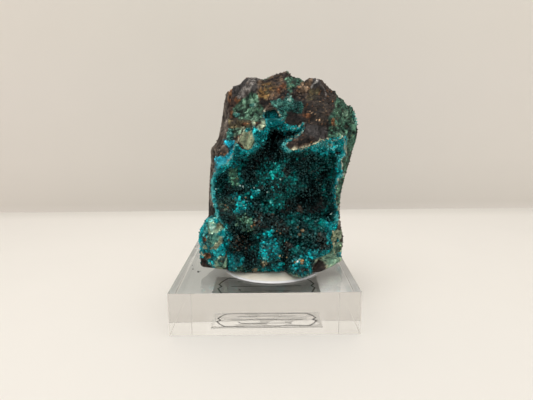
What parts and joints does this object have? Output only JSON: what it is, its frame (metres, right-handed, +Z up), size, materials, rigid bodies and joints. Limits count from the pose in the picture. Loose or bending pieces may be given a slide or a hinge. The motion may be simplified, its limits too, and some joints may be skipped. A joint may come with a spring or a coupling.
{
  "type": "dioptase specimen on acrylic base",
  "caption": "Free-standing mineral specimen: a hollow of green dioptase crystals in copper-stained rock, fixed with putty to a clear acrylic base.",
  "frame": {"origin": "middle of the acrylic base's underside", "axes": "+Z up from the underside, -Y towards the side with the crystals, +X to the right seen from that side"},
  "size_m": [0.0528, 0.05, 0.0689],
  "materials": {
    "clear_acrylic": "polished, clear",
    "label_paper": "matt, printed border, no lettering",
    "cream_putty": "pressed flat",
    "gossan_rock": "rough, broken, with green and blue copper stains",
    "dioptase_green": "glassy crystals"
  },
  "bodies": {
    "root": {"acrylic_base": "clear_acrylic", "label_slip": "label_paper", "seat_disc": "clear_acrylic", "mounting_putty": "cream_putty", "matrix_rock": "gossan_rock", "dioptase_crust": "dioptase_green"}
  },
  "joints": []
}
